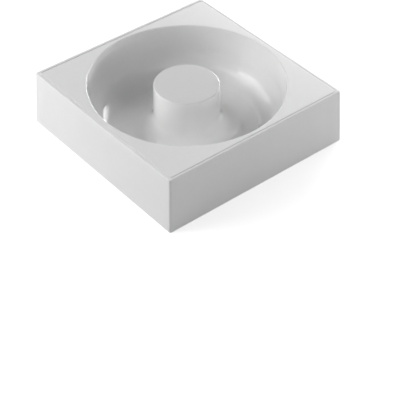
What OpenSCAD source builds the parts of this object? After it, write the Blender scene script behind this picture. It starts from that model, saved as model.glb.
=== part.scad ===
// Ring-cake (savarin) mould: a square, thin-walled silicone block with one round
// cavity and a central post. Moulded in one piece, open underneath.
// Millimetres. Origin at the middle of the base, +Z up, the flat deck on top.

/* [Block] */
// Width of the square deck across its flats, at the top edge
top_width = 195; // [192:0.5:200]
// Width of the square at its base, the sides spread outwards to it
base_width = 200.5; // [198:0.5:206]
// Overall height
height = 55; // [54:0.5:60]
// Radius of the upright corners at the top, seen from above
corner_r = 2; // [1.5:0.1:5]
// Rounding of the deck's outer edge
edge_round = 0.9; // [0.5:0.1:1.5]
// Rounding of the lower outer edge
foot_round = 0.6; // [0.3:0.1:1]

/* [Deck groove] */
// Distance from the deck's outer edge to the middle of the groove
groove_inset = 3.2; // [2.5:0.1:4]
// Width of the groove
groove_w = 1.4; // [0.6:0.1:1.6]
// Depth of the groove
groove_d = 0.6; // [0.3:0.05:0.8]
// Corner radius of the groove's middle line, seen from above
groove_corner_r = 2.4; // [1.5:0.1:4]

/* [Cavity] */
// Diameter of the cavity's wall
rim_d = 180; // [174:0.5:182]
// Depth of the cavity under the deck
cavity_depth = 50; // [46:0.5:52]
// Radius of the curve from the outer wall to the floor
wall_curve_r = 24; // [20:0.5:26]
// Rounding where the cavity's wall meets the deck
rim_round = 1.2; // [0.6:0.1:1.6]

/* [Post] */
// Diameter of the post at its top
post_d = 60; // [58:0.5:63]
// Slope of the post's side from the vertical, in degrees
post_draft = 1.2; // [0.5:0.1:2]
// Distance of the post's top under the deck
post_drop = 1.8; // [0.5:0.1:3]
// Radius of the curve from the post to the floor
post_curve_r = 20; // [17:0.5:21]
// Rounding of the post's top edge
post_round = 1.2; // [0.6:0.1:2]

/* [Walls] */
// Thickness of the sides, the deck and the cavity's wall
wall = 3; // [2.5:0.1:3.2]
// Radius of the curve under the bowl, from its side to its flat bottom
under_curve_r = 26; // [24:0.5:28]
// Radius of the curve under the post's foot
under_post_r = 23; // [21:0.5:24]
// Height at which the bowl and the sides part from each other, half way along each side
web_z = 27; // [24:0.5:32]
// Half length of the part where the bowl and a side are joined above that height
web_half = 25; // [20:1:32]

/* [Hidden] */
$fn = 128;

eps = 0.01;
ht = top_width / 2;               // half width at the top
hb = base_width / 2;              // half width at the base
spread = (hb - ht) / height;      // how far the sides spread per millimetre of height
R = rim_d / 2;
floor_z = height - cavity_depth;  // level of the cavity's floor
post_z = height - post_drop;      // level of the post's top
pr = post_d / 2;
td = tan(post_draft);
cd = cos(post_draft);
sd = sin(post_draft);

// Radius of the post's side at height z
function post_r(z) = pr + (post_z - z) * td;
// Centre of a circle of radius r that touches the post's side from outside, moved in by t, at height z
function touch_out(r, z, t) = post_r(z) - t / cd + r / cd;

// Sweeps a section round a rounded square: the section's x runs outwards from the
// corner's axis, its y is the height.
module square_sweep(half, r) {
    a = half - r;
    for (q = [0:3])
        rotate(90 * q) {
            translate([a, a, 0])
                rotate_extrude(angle = 90) children();
            translate([a, a, 0])
                rotate([90, 0, 0])
                    linear_extrude(height = 2 * a) children();
        }
}

// Section of the block's sides, from the corner's axis to the skin
module side_section() {
    e = edge_round;
    f = foot_round;
    n = sqrt(1 + spread * spread);
    // centre of the top rounding, which touches the deck and the sloping side
    ex = corner_r + spread * e - e * n;
    // centre of the bottom rounding
    fx = corner_r + spread * (height - f) - f * n;
    difference() {
        polygon([
            [0, 0],
            [corner_r + spread * height, 0],
            [corner_r, height],
            [0, height]
        ]);
        // takes off the two sharp edges, outside their roundings
        difference() {
            polygon([
                [ex, height - e],
                [ex + e / n, height - e + e * spread / n],
                [corner_r + 1, height - e + e * spread / n],
                [corner_r + 1, height + 1],
                [ex, height + 1]
            ]);
            translate([ex, height - e]) circle(r = e);
        }
        difference() {
            polygon([
                [fx, f],
                [fx, -1],
                [fx + f + 1, -1],
                [fx + f + 1, f + f * spread / n],
                [fx + f / n, f + f * spread / n]
            ]);
            translate([fx, f]) circle(r = f);
        }
    }
}

// The whole block, solid
module block() {
    a = ht - corner_r;
    square_sweep(ht, corner_r) side_section();
    translate([-a - eps, -a - eps, 0])
        cube([2 * (a + eps), 2 * (a + eps), height]);
}

// Space under the deck, inside the four sides. Above web_z only its corners are open.
module under_space() {
    r = corner_r;
    half = ht - wall;
    a = half - r;
    top = height - wall;
    module space() {
        square_sweep(half, r)
            polygon([
                [0, -1],
                [r + spread * (height + 1), -1],
                [r + spread * wall, top],
                [0, top]
            ]);
        translate([-a - eps, -a - eps, -1])
            cube([2 * (a + eps), 2 * (a + eps), top + 1]);
    }
    difference() {
        space();
        for (q = [0:1])
            rotate(90 * q)
                translate([-hb - 5, -web_half, web_z])
                    cube([2 * hb + 10, 2 * web_half, height]);
    }
}

// Section of the bowl that hangs from the deck, filled in
module bowl_section() {
    c = R + wall - under_curve_r;
    square([c, height - wall / 2]);
    translate([0, under_curve_r])
        square([R + wall, height - wall / 2 - under_curve_r]);
    intersection() {
        translate([c, under_curve_r]) circle(r = under_curve_r);
        square([2 * R, height - wall]);
    }
}

// Section of the space inside the post, open at the base
module post_space_section() {
    r = under_post_r;
    t = wall;
    top = post_z - wall;
    x = touch_out(r, r, t);
    k = 2;
    kx = post_r(top - k) - t / cd - k / cd;
    difference() {
        union() {
            translate([0, -1]) square([x, r + 1 - r * sd]);
            polygon([
                [0, r - r * sd - eps],
                [x - r * cd, r - r * sd - eps],
                [x - r * cd, r - r * sd],
                [kx + k * cd, top - k + k * sd],
                [kx, top - k],
                [kx, top],
                [0, top]
            ]);
            intersection() {
                translate([kx, top - k]) circle(r = k);
                translate([0, top - k]) square([2 * R, k + 1]);
            }
        }
        translate([x, r]) circle(r = r);
    }
}

// Section of the cavity: everything that the mould's inner skin leaves free
module cavity_section() {
    top = height + 1;
    ro = wall_curve_r;
    ri = post_curve_r;
    xo = R - ro;                      // centre of the curve at the outer wall
    zo = floor_z + ro;
    zi = floor_z + ri;                // centre of the curve at the post
    xi = touch_out(ri, zi, 0);
    e = post_round;
    px = post_r(post_z - e) - e / cd; // centre of the rounding on the post's edge
    pz = post_z - e;
    // between the two curves, down to the floor
    translate([xi, floor_z]) square([xo - xi, top - floor_z]);
    // outer wall
    translate([xo, zo]) square([ro, top - zo]);
    translate([xo, zo]) circle(r = ro);
    // post's side
    polygon([
        [xi - ri * cd, zi - ri * sd],
        [xi, zi],
        [xi, top],
        [px + e * cd, top],
        [px + e * cd, pz + e * sd]
    ]);
    translate([xi, zi]) circle(r = ri);
    // over the post, with its rounded edge
    difference() {
        polygon([
            [px, pz],
            [px + e * cd, pz + e * sd],
            [px + e * cd + eps, pz + e * sd],
            [px + e * cd + eps, top],
            [px, top]
        ]);
        translate([px, pz]) circle(r = e);
    }
    translate([0, post_z]) square([px + eps, top - post_z]);
    // rounded rim
    difference() {
        translate([R - eps, height - rim_round])
            square([rim_round + eps, rim_round + 1]);
        translate([R + rim_round, height - rim_round]) circle(r = rim_round);
    }
}

// Shallow groove that runs round the deck just inside its edge
module deck_groove() {
    square_sweep(ht - groove_inset, groove_corner_r)
        polygon([
            [groove_corner_r - groove_w / 2, height + 1],
            [groove_corner_r - groove_w / 2, height],
            [groove_corner_r - groove_w / 5, height - groove_d],
            [groove_corner_r + groove_w / 5, height - groove_d],
            [groove_corner_r + groove_w / 2, height],
            [groove_corner_r + groove_w / 2, height + 1]
        ]);
}

module mould() {
    color([0.84, 0.84, 0.83])
        difference() {
            union() {
                difference() {
                    block();
                    under_space();
                }
                rotate_extrude() bowl_section();
            }
            rotate_extrude() cavity_section();
            rotate_extrude() post_space_section();
            deck_groove();
        }
}

mould();
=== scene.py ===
"""Looks of the savarin mould: a pale grey silicone moulding on a white studio sweep.

Metres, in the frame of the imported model: origin in the middle of the base, +Z up, deck at z = 0.055.
The visible skin is one closed mesh made of rings, which stands for the node `mould`.
"""

import math

import bpy
import numpy as np
from mathutils import Matrix, Vector

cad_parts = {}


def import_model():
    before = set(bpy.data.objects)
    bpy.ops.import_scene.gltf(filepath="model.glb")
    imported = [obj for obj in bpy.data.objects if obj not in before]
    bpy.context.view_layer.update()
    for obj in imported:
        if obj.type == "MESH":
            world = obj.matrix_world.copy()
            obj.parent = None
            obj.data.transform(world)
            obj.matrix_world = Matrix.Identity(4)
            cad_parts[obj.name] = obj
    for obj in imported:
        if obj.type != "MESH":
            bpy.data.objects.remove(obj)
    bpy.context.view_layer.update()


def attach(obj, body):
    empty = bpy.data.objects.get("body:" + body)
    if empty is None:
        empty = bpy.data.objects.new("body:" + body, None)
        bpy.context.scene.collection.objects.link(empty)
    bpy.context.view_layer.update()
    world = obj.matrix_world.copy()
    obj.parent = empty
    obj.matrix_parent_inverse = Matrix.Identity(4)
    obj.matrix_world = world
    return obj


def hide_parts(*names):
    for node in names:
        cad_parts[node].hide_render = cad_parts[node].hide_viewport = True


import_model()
scene = bpy.context.scene

# ------------------------------------------------------------------ sizes, millimetres
H = 55.0  # height
HT = 97.5  # half width at the top
HB = 100.249  # half width at the base
CORNER = 2.0  # upright corners, seen from above
EDGE = 0.9  # rounding of the deck's outer edge
FOOT = 0.6  # rounding of the lower outer edge
SPREAD = (HB - HT) / H
GROOVE_IN, GROOVE_W, GROOVE_D, GROOVE_R = 3.2, 1.4, 0.6, 2.4
R = 90.0  # cavity
FLOOR = 5.0
RO = 24.0  # curve from the wall to the floor
CREASE = 0.10  # depth of the fine line on the floor
RIM = 1.2
POST_R, POST_Z, DRAFT = 30.0, 53.2, math.radians(1.2)
RI = 20.0  # curve from the post to the floor
POST_E = 1.2
WALL = 3.0
RU, RP = 26.0, 23.0  # curves underneath
WEB_Z, WEB_HALF = 27.0, 25.0
TD, CD, SD = math.tan(DRAFT), math.cos(DRAFT), math.sin(DRAFT)


def post_r(z):
    return POST_R + (POST_Z - z) * TD


def arc(cx, cz, r, a0, a1, n):
    """n + 1 points from angle a0 to a1, in degrees"""
    t = np.radians(np.linspace(a0, a1, n + 1))
    return [(cx + r * math.cos(a), cz + r * math.sin(a)) for a in t]


def line(p, q, n, ends=True):
    """Points strictly between p and q. With ends, two of them lie close to the ends and hold the shading there."""
    t = np.linspace(0, 1, n + 1)[1:-1]
    if ends:
        d = math.dist(p, q)
        k = min(0.3 / d, 0.2)
        t = np.concatenate([[k], np.linspace(0, 1, n - 1)[1:-1], [1 - k]])
    return [(p[0] + (q[0] - p[0]) * f, p[1] + (q[1] - p[1]) * f) for f in t]


# ------------------------------------------------------------------ round part, seen from above
def round_angles():
    """Angles of the round rings: even, with a close pair at each end of the four webs"""
    even = np.arange(0, 360, 360 / 384)
    pair = [math.degrees(math.asin((WEB_HALF + d) / (R + WALL))) for d in (-0.3, 0.3)]
    extra = np.array(
        [(90 * q + s * a) % 360 for q in range(4) for s in (-1, 1) for a in pair]
    )
    keep = [a for a in even if np.min(np.abs((a - extra + 180) % 360 - 180)) > 0.3]
    return np.radians(np.sort(np.concatenate([keep, extra])))


ANG = round_angles()

# ------------------------------------------------------------------ square part, seen from above
# Each sample is a place on a square's outline (c) and the outward direction there (n). A ring is a * c + u * n.
SIDE_S = sorted(
    set(
        [round(v, 5) for v in np.linspace(-1, 1, 33)[1:-1]]
        + [s * (WEB_HALF + d) / 90.0 for s in (-1, 1) for d in (-0.3, 0.3)]
    )
)
SIDE_S = [
    s
    for s in SIDE_S
    if abs(abs(s) - WEB_HALF / 90) < 0.004 or abs(abs(s) - WEB_HALF / 90) > 0.012
]
CORNER_N = 12


def square_samples():
    c, n = [], []
    for q in range(4):
        ca, sa = round(math.cos(q * math.pi / 2)), round(math.sin(q * math.pi / 2))

        def turn(x, y):
            return (ca * x - sa * y, sa * x + ca * y)

        for s in SIDE_S:
            c.append(turn(1, s))
            n.append(turn(1, 0))
        for k in range(CORNER_N + 1):
            f = math.pi / 2 * k / CORNER_N
            c.append(turn(1, 1))
            n.append(turn(math.cos(f), math.sin(f)))
    return np.array(c), np.array(n)


SC, SN = square_samples()


def sq(a, u, z):
    """A square ring; z is one height or one for each sample"""
    p = a * SC + u * SN
    return np.column_stack([p, np.broadcast_to(z, len(p))])


def ci(r, z):
    """A round ring"""
    return np.column_stack(
        [r * np.cos(ANG), r * np.sin(ANG), np.broadcast_to(z, len(ANG))]
    )


# ------------------------------------------------------------------ the skin, from the post's top outwards and back
def inner_profile():
    """Round rings from the post's top to the deck, as (radius, height, gloss)"""
    px = post_r(POST_Z - POST_E) - POST_E / CD
    pz = POST_Z - POST_E
    xi = post_r(FLOOR + RI) + RI / CD
    zi = FLOOR + RI
    xo, zo = R - RO, FLOOR + RO
    out = [(r, POST_Z, 0.6) for r in (4, 10, 16, 22, 26.5, px - 0.3)]
    out += [(x, z, 0.7) for x, z in arc(px, pz, POST_E, 90, math.degrees(DRAFT), 7)]
    top = (px + POST_E * CD, pz + POST_E * SD)
    foot = (xi - RI * CD, zi - RI * SD)
    out += [(x, z, 0.8) for x, z in line(top, foot, 8)]
    out += [(x, z, 1.0) for x, z in arc(xi, zi, RI, 180 + math.degrees(DRAFT), 270, 22)]
    # the floor, with the fine line that the tool left just inside the wall's curve
    out += [(x, z, 1.0) for x, z in line((xi, FLOOR), (xo - 1.0, FLOOR), 5)]
    out += [(xo - f, FLOOR - d, 1.0) for f, d in ((1.0, 0), (0.8, 0.03), (0.55, CREASE), (0.3, CREASE), (0.1, 0.02))]
    out += [(x, z, 1.0) for x, z in arc(xo, zo, RO, 270, 360, 28)]
    out += [(x, z, 1.0) for x, z in line((R, zo), (R, H - RIM), 8)]
    out += [(x, z, 0.55) for x, z in arc(R + RIM, H - RIM, RIM, 180, 90, 8)]
    out += [(R + RIM + 0.25, H, 0.0)]
    return out


def outer_profile():
    """Square rings from the deck's groove to the inner edge of the foot, as (a, u, height).

    The upright corners keep one radius all the way down.
    """
    w, d, g = GROOVE_W / 2, GROOVE_D, GROOVE_R
    ag = HT - GROOVE_IN - g
    out = []
    for f, k in (
        (-1.6, 0),
        (-1.22, 0),
        (-1.0, 0.06),
        (-0.82, 0.26),
        (-0.62, 0.62),
        (-0.45, 0.88),
        (-0.25, 0.98),
        (0, 1),
        (0.25, 0.98),
        (0.45, 0.88),
        (0.62, 0.62),
        (0.82, 0.26),
        (1.0, 0.06),
        (1.22, 0),
        (1.6, 0),
    ):
        out.append((ag, g + f * w, H - d * k))
    n = math.hypot(1, SPREAD)
    slope = math.degrees(math.atan(SPREAD))
    a = HT - CORNER
    ex = CORNER + SPREAD * EDGE - EDGE * n
    fx = CORNER + SPREAD * (H - FOOT) - FOOT * n
    out.append((a, ex - 0.3, H))
    out += [(a, x, z) for x, z in arc(ex, H - EDGE, EDGE, 90, slope, 7)]
    p = (ex + EDGE / n, H - EDGE + EDGE * SPREAD / n)
    q = (fx + FOOT / n, FOOT + FOOT * SPREAD / n)
    out += [(a, x, z) for x, z in line(p, q, 14)]
    out += [(a, x, z) for x, z in arc(fx, FOOT, FOOT, slope, -90, 6)]
    b = HT - WALL - CORNER
    u0 = CORNER + SPREAD * H
    k = 0.4
    out += [(a, fx - 0.3, 0)]
    out += [(b, u0 + k + 0.3, 0)]
    out += [(b, x, z) for x, z in arc(u0 + k - SPREAD * k, k, k, 270, 180 + slope, 3)]
    return [(a + SPREAD * (H - z), u - SPREAD * (H - z), z) for a, u, z in out]


def ceiling(points):
    """Height of the space under the deck above each point: lower beside the middle of each side"""
    m = np.minimum(np.abs(points[:, 0]), np.abs(points[:, 1]))
    return np.where(m < WEB_HALF, WEB_Z, H - WALL)


def under_profile():
    """Round rings under the bowl and up into the post, from the bowl's side inwards, as (radius, height)"""
    xu = post_r(RP) - WALL / CD + RP / CD
    k, top = 2.0, POST_Z - WALL
    kx = post_r(top - k) - WALL / CD - k / CD
    out = arc(R + WALL - RU, RU, RU, 0, -90, 24)
    out += line((R + WALL - RU, 0), (xu, 0), 5)
    out += arc(xu, RP, RP, 270, 180 + math.degrees(DRAFT), 20)
    out += line((xu - RP * CD, RP - RP * SD), (kx + k * CD, top - k + k * SD), 6)
    out += arc(kx, top - k, k, math.degrees(DRAFT), 90, 6)
    out += [(r, top) for r in (kx - 0.3, 21, 15, 9, 3.5)]
    return out


def build_skin():
    verts, faces, gloss, square = [], [], [], []

    def add(ring, g, is_square=False):
        start = sum(len(v) for v in verts)
        verts.append(ring)
        gloss.append(np.full(len(ring), g))
        square.append(np.full(len(ring), float(is_square)))
        return start, len(ring)

    def strip(p, q):
        """Quads between two rings of one kind"""
        n = p[1]
        for i in range(n):
            j = (i + 1) % n
            faces.append((p[0] + i, q[0] + i, q[0] + j, p[0] + j))

    def zip_rings(p, q, pts):
        """Triangles between an inner ring p and an outer ring q that have different numbers of points"""
        pa = np.degrees(np.arctan2(pts[p[0] : p[0] + p[1], 1], pts[p[0] : p[0] + p[1], 0])) % 360
        qa = np.degrees(np.arctan2(pts[q[0] : q[0] + q[1], 1], pts[q[0] : q[0] + q[1], 0])) % 360
        pi, qi = np.argsort(pa, kind="stable"), np.argsort(qa, kind="stable")
        i = j = 0
        made = []
        while i < p[1] or j < q[1]:
            a = pa[pi[i]] if i < p[1] else 999
            b = qa[qi[j]] if j < q[1] else 999
            here = (p[0] + pi[i % p[1]], q[0] + qi[j % q[1]])
            if a <= b:
                nxt = p[0] + pi[(i + 1) % p[1]]
                made.append((here[0], here[1], nxt))
                i += 1
            else:
                nxt = q[0] + qi[(j + 1) % q[1]]
                made.append((here[0], here[1], nxt))
                j += 1
        return made

    # top of the post
    prof = inner_profile()
    first = None
    prev = None
    for r, z, g in prof:
        ring = add(ci(r, z), g)
        if prev:
            strip(prev, ring)
        else:
            first = ring
        prev = ring
    rim_ring = prev
    # deck, sides, foot
    prev = None
    for a, u, z in outer_profile():
        ring = add(sq(a, u, z), 0.0, True)
        if prev:
            strip(prev, ring)
        else:
            deck_ring = ring
        prev = ring
    # inner face of the sides, up to the ceiling
    b = HT - WALL - CORNER
    z0 = verts[-1][0][2]
    top = ceiling(sq(b, CORNER, 0))
    t = list(np.linspace(0, 1, 15)[1:-1]) + [0.985, 1.0]
    for f in t:
        z = z0 + (top - z0) * f
        ring_pts = (b + SPREAD * (H - z))[:, None] * SC + CORNER * SN
        ring = add(np.column_stack([ring_pts, z]), 0.0, True)
        strip(prev, ring)
        prev = ring
    side_top = prev
    # outside of the bowl, from the ceiling down
    top = ceiling(ci(R + WALL, 0))
    prev = None
    for f in [0, 0.015] + list(np.linspace(0, 1, 10)[1:-1]):
        z = top + (RU - top) * f
        ring = add(np.column_stack([ci(R + WALL, 0)[:, :2], z]), 0.0)
        if prev:
            strip(prev, ring)
        else:
            bowl_top = ring
        prev = ring
    for r, z in under_profile():
        ring = add(ci(r, z), 0.0)
        strip(prev, ring)
        prev = ring
    last = prev

    pts = np.concatenate(verts)
    g = np.concatenate(gloss)
    faces += zip_rings(rim_ring, deck_ring, pts)
    faces += [f[::-1] for f in zip_rings(bowl_top, side_top, pts)]
    # the two poles
    pole_top, pole_under = len(pts), len(pts) + 1
    pts = np.concatenate([pts, [[0, 0, POST_Z], [0, 0, POST_Z - WALL]]])
    g = np.concatenate([g, [0.6, 0.0]])
    squareness = np.concatenate(square + [[0.0, 0.0]])
    n = first[1]
    for i in range(n):
        j = (i + 1) % n
        faces.append((pole_top, first[0] + i, first[0] + j))
        faces.append((pole_under, last[0] + j, last[0] + i))
    return pts, faces, g, squareness


# Silicone gives a little: how far the middle of each side's top edge stands out (+) or in (-)
BOW = {"-x": 0.6, "+x": 0.0, "-y": 0.0, "+y": 0.0}

# How far the cavity sits off the block's middle
CAVITY_AT = (-0.45, -0.34)

# The deck's groove: how far it sits off the block's middle, and how much shallower it is along the x sides
GROOVE_AT = (0.0, -0.6)
GROOVE_FADE = 0.5

# A shallow dent in the cavity's rim: azimuth, half angle, depth
DENT = (158.0, 26.0, 1.0)


def relax(p, squareness):
    """The slight bow of the four sides and of the rim: none at the foot, most at the deck"""
    x, y, z = p[:, 0], p[:, 1], p[:, 2]
    up = np.clip(z / H, 0, 1)
    up = up * up * (3 - 2 * up)

    def along(v):
        return np.clip(1 - (v / HT) ** 2, 0, 1)

    def out(v):
        return np.clip((v - 80) / 10, 0, 1)

    # the groove
    reach = np.maximum(np.abs(x), np.abs(y))
    mine = (squareness > 0) & (z > H - GROOVE_D - 0.01) & (reach < HT - GROOVE_IN + 0.9 * GROOVE_W)
    on_x = np.clip((np.abs(x) - np.abs(y)) / 12 + 0.5, 0, 1)
    z = np.where(mine, H - (H - z) * (1 - GROOVE_FADE * on_x), z)

    k = squareness * up
    dx = (BOW["+x"] * out(x) - BOW["-x"] * out(-x)) * along(y) * k
    dy = (BOW["+y"] * out(y) - BOW["-y"] * out(-y)) * along(x) * k
    r, t = np.hypot(x, y), np.arctan2(y, x)
    turn = (np.degrees(t) - DENT[0] + 180) % 360 - 180
    d = -DENT[2] * np.cos(np.clip(turn / DENT[1], -1, 1) * math.pi / 2) ** 2
    d = d * (1 - squareness) * up * np.clip((r - 45) / 45, 0, 1) ** 2
    dx += CAVITY_AT[0] * (1 - squareness) + d * np.cos(t)
    dy += CAVITY_AT[1] * (1 - squareness) + d * np.sin(t)
    dx += GROOVE_AT[0] * mine
    dy += GROOVE_AT[1] * mine
    return np.column_stack([x + dx, y + dy, z])


def mesh_object(name, pts, faces, gloss):
    mesh = bpy.data.meshes.new(name)
    mesh.from_pydata((pts * 0.001).tolist(), [], [tuple(map(int, f)) for f in faces])
    mesh.validate()
    att = mesh.attributes.new("gloss", "FLOAT", "POINT")
    att.data.foreach_set("value", gloss.astype(np.float32))
    # painted shade: marks the post's top, which the material paints a little darker to stand in for dimmer light
    painted_shade = (pts[:, 2] > POST_Z - 0.3) & (np.hypot(pts[:, 0], pts[:, 1]) < POST_R)
    att = mesh.attributes.new("painted_shade", "FLOAT", "POINT")
    att.data.foreach_set("value", painted_shade.astype(np.float32))
    mesh.shade_smooth()
    # keep the creases underneath crisp
    co = np.array([v.co for v in mesh.vertices])
    normals = np.array([q.normal for q in mesh.polygons])
    pair = {}
    for q in mesh.polygons:
        for e in q.edge_keys:
            pair.setdefault(e, []).append(q.index)
    sharp = np.zeros(len(mesh.edges), bool)
    for i, e in enumerate(mesh.edges):
        f = pair[e.key]
        if len(f) == 2:
            sharp[i] = float(normals[f[0]] @ normals[f[1]]) < math.cos(math.radians(38))
    s = mesh.attributes.get("sharp_edge") or mesh.attributes.new("sharp_edge", "BOOLEAN", "EDGE")
    s.data.foreach_set("value", sharp)
    mesh.update()
    obj = bpy.data.objects.new(name, mesh)
    scene.collection.objects.link(obj)
    return obj


# ------------------------------------------------------------------ silicone
def silicone():
    m = bpy.data.materials.new("silicone_grey")
    m.use_nodes = True
    nt = m.node_tree
    nt.nodes.clear()
    N = nt.nodes.new
    L = nt.links.new
    out = N("ShaderNodeOutputMaterial")
    bsdf = N("ShaderNodeBsdfPrincipled")
    L(bsdf.outputs["BSDF"], out.inputs["Surface"])
    co = N("ShaderNodeTexCoord")
    pos = co.outputs["Object"]

    def noise(scale, detail=2.0, rough=0.5, w=None):
        t = N("ShaderNodeTexNoise")
        t.inputs["Scale"].default_value = scale
        t.inputs["Detail"].default_value = detail
        t.inputs["Roughness"].default_value = rough
        L(pos, t.inputs["Vector"])
        return t.outputs["Fac"]

    def rng(src, a, b, c, d):
        r = N("ShaderNodeMapRange")
        for k, v in zip(("From Min", "From Max", "To Min", "To Max"), (a, b, c, d)):
            r.inputs[k].default_value = v
        L(src, r.inputs["Value"])
        return r.outputs["Result"]

    def math_node(op, a, b=None):
        r = N("ShaderNodeMath")
        r.operation = op
        for i, v in enumerate((a, b)):
            if v is None:
                continue
            if isinstance(v, (int, float)):
                r.inputs[i].default_value = v
            else:
                L(v, r.inputs[i])
        return r.outputs[0]

    gloss = N("ShaderNodeAttribute")
    gloss.attribute_name = "gloss"
    gloss = gloss.outputs["Fac"]

    # tone: broad, faint clouds and a fine mottle
    tone = math_node(
        "ADD",
        rng(noise(14, 3, 0.6), 0.3, 0.7, -0.010, 0.010),
        rng(noise(420, 2, 0.5), 0.3, 0.7, -0.006, 0.006),
    )
    tone = math_node("ADD", tone, 0.88)
    # painted shade: the post's top is painted a little darker, standing in for the dimmer light it gets
    painted_shade = N("ShaderNodeAttribute")
    painted_shade.attribute_name = "painted_shade"
    tone = math_node("SUBTRACT", tone, math_node("MULTIPLY", painted_shade.outputs["Fac"], 0.08))
    rgb = N("ShaderNodeCombineColor")
    for i in range(3):
        L(tone, rgb.inputs[i])
    L(rgb.outputs["Color"], bsdf.inputs["Base Color"])

    # roughness: matte deck and sides, a smoother cavity, faint handling marks
    base = rng(gloss, 0, 1, 0.40, 0.08)
    marks = rng(noise(38, 4, 0.65), 0.35, 0.7, -0.015, 0.02)
    L(math_node("ADD", base, marks), bsdf.inputs["Roughness"])

    # relief: moulding grain, and the soft waviness of a thin silicone wall
    grain = N("ShaderNodeBump")
    grain.inputs["Strength"].default_value = 0.25
    grain.inputs["Distance"].default_value = 0.00004
    L(noise(1900, 2, 0.6), grain.inputs["Height"])
    wave = N("ShaderNodeBump")
    wave.inputs["Strength"].default_value = 0.6
    wave.inputs["Distance"].default_value = 0.0004
    L(noise(22, 1.5, 0.4), wave.inputs["Height"])
    L(grain.outputs["Normal"], wave.inputs["Normal"])
    L(wave.outputs["Normal"], bsdf.inputs["Normal"])

    bsdf.inputs["IOR"].default_value = 1.42
    bsdf.inputs["Subsurface Weight"].default_value = 0.15
    bsdf.inputs["Subsurface Radius"].default_value = (1.0, 1.0, 1.0)
    bsdf.inputs["Subsurface Scale"].default_value = 0.0015
    return m


# ------------------------------------------------------------------ stage
def floor():
    """A white sweep: a wide flat floor under the mould"""
    mesh = bpy.data.meshes.new("floor")
    n, r = 96, 6.0
    pts = [(r * math.cos(2 * math.pi * i / n), r * math.sin(2 * math.pi * i / n), 0) for i in range(n)]
    mesh.from_pydata(pts, [], [tuple(range(n))])
    obj = bpy.data.objects.new("floor", mesh)
    scene.collection.objects.link(obj)
    m = bpy.data.materials.new("floor_white")
    m.use_nodes = True
    nt = m.node_tree
    nt.nodes.clear()
    out = nt.nodes.new("ShaderNodeOutputMaterial")
    mix = nt.nodes.new("ShaderNodeMixShader")
    path = nt.nodes.new("ShaderNodeLightPath")
    seen = nt.nodes.new("ShaderNodeAddShader")
    white = nt.nodes.new("ShaderNodeBsdfDiffuse")
    white.inputs["Color"].default_value = (FLOOR_SEEN[0],) * 3 + (1,)
    glow = nt.nodes.new("ShaderNodeEmission")
    glow.name = "glow"
    glow.inputs["Color"].default_value = (1, 1, 1, 1)
    glow.inputs["Strength"].default_value = FLOOR_SEEN[1]
    felt = nt.nodes.new("ShaderNodeBsdfDiffuse")
    felt.inputs["Color"].default_value = (FLOOR_FELT,) * 3 + (1,)
    L = nt.links.new
    L(white.outputs[0], seen.inputs[0])
    L(glow.outputs[0], seen.inputs[1])
    L(path.outputs["Is Camera Ray"], mix.inputs[0])
    L(felt.outputs[0], mix.inputs[1])
    L(seen.outputs[0], mix.inputs[2])
    L(mix.outputs[0], out.inputs["Surface"])
    mesh.materials.append(m)
    return obj


FLOOR_SEEN = (0.9, 0.55)  # what the camera sees: diffuse share, own light
FLOOR_FELT = 0.7  # what the mould receives back

# Softboxes: azimuth from +X towards +Y and elevation of the place seen from the aim, distance, width, height, watts, aim
MID = (0, 0, 0.04)
LEFT = (-0.049, 0.058, 0.007)
LIGHTS = {
    # the big soft window at the left, in five panes
    "key_a": (150, 27, 1.6, 0.75, 0.42, 5.20, MID),
    "key_b": (150, 42, 1.6, 0.75, 0.42, 3.30, MID),
    "key_c": (120, 27, 1.6, 0.75, 0.42, 3.90, MID),
    "key_d": (120, 42, 1.6, 0.75, 0.42, 1.05, MID),
    "key_e": (180, 40, 1.6, 0.75, 0.42, 1.95, MID),
    "key_low": (150, 12, 0.75, 0.39, 0.20, 1.20, MID),
    # fill from the front and the right
    "front_a": (240, 42, 0.75, 0.39, 0.20, 0.36, MID),
    "front_b": (270, 42, 0.75, 0.39, 0.20, 0.40, MID),
    "side_a": (300, 7, 0.75, 0.39, 0.12, 1.08, MID),
    "side_b": (340, 4, 0.55, 0.30, 0.06, 0.35, MID),
    "top": (51, 85, 1.2, 0.60, 0.60, 0.35, MID),
    # behind: two low strips for the far half of the deck, and a window that shows as the streak in the cavity
    "back": (30, 12, 0.75, 0.39, 0.20, 2.40, MID),
    "back_low": (34, 18, 0.55, 0.28, 0.14, 0.62, MID),
    "streak_a": (17, 30, 2.0, 0.99, 0.23, 7.40, LEFT),
    "streak_b": (16, 35.5, 2.0, 0.56, 0.20, 2.00, LEFT),
}
WORLD = 0.01


def direction(az, el):
    a, e = math.radians(az), math.radians(el)
    return Vector((math.cos(a) * math.cos(e), math.sin(a) * math.cos(e), math.sin(e)))


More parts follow.
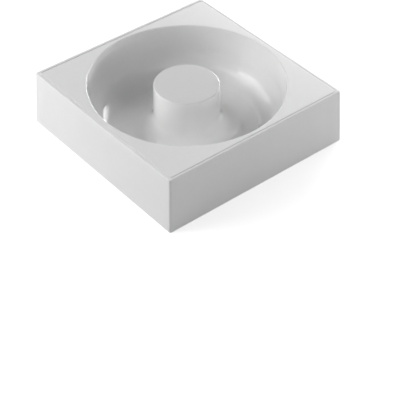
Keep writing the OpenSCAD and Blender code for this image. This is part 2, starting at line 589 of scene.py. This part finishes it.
def lights():
    for name, (az, el, dist, w, h, watts, aim) in LIGHTS.items():
        data = bpy.data.lights.new(name, "AREA")
        data.shape = "RECTANGLE"
        data.size, data.size_y = w, h
        data.energy = watts
        obj = bpy.data.objects.new("light_" + name, data)
        scene.collection.objects.link(obj)
        d = direction(az, el)
        z = d
        x = Vector((-d.y, d.x, 0)).normalized()
        y = z.cross(x)
        m = Matrix((x, y, z)).transposed().to_4x4()
        m.translation = Vector(aim) + d * dist
        obj.matrix_world = m
        obj.visible_camera = False


def world():
    w = bpy.data.worlds.new("studio")
    w.use_nodes = True
    nt = w.node_tree
    nt.nodes.clear()
    out = nt.nodes.new("ShaderNodeOutputWorld")
    bg = nt.nodes.new("ShaderNodeBackground")
    bg.name = "light"
    bg.inputs["Color"].default_value = (1, 1, 1, 1)
    bg.inputs["Strength"].default_value = WORLD
    seen = nt.nodes.new("ShaderNodeBackground")
    seen.inputs["Color"].default_value = (1, 1, 1, 1)
    seen.inputs["Strength"].default_value = 1.0
    mix = nt.nodes.new("ShaderNodeMixShader")
    path = nt.nodes.new("ShaderNodeLightPath")
    nt.links.new(path.outputs["Is Camera Ray"], mix.inputs[0])
    nt.links.new(bg.outputs[0], mix.inputs[1])
    nt.links.new(seen.outputs[0], mix.inputs[2])
    nt.links.new(mix.outputs[0], out.inputs["Surface"])
    scene.world = w


def camera():
    az, el, roll = (math.radians(v) for v in (-39.872, 41.352, 0.393))
    back = Vector((math.sin(az) * math.cos(el), -math.cos(az) * math.cos(el), math.sin(el)))
    right = Vector((math.cos(az), math.sin(az), 0))
    up = right.cross(-back)
    r2 = math.cos(roll) * right + math.sin(roll) * up
    u2 = -math.sin(roll) * right + math.cos(roll) * up
    data = bpy.data.cameras.new("camera")
    data.sensor_width = 36
    data.lens = 1350.6 / 400 * 36
    data.clip_start, data.clip_end = 0.05, 50
    cam = bpy.data.objects.new("camera", data)
    m = Matrix((r2, u2, back)).transposed().to_4x4()
    m.translation = Vector((-0.618235, -0.7596, 0.775855))
    cam.matrix_world = m
    scene.collection.objects.link(cam)
    scene.camera = cam


pts, faces, gloss, squareness = build_skin()
skin = mesh_object("mould_skin", relax(pts, squareness), faces, gloss)
skin.data.materials.append(silicone())
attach(skin, "root")
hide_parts("mould")

floor()
lights()
world()
camera()

scene.view_settings.view_transform = "Standard"
scene.view_settings.look = "None"
scene.view_settings.exposure = 0
scene.view_settings.gamma = 1
scene.cycles.use_denoising = True
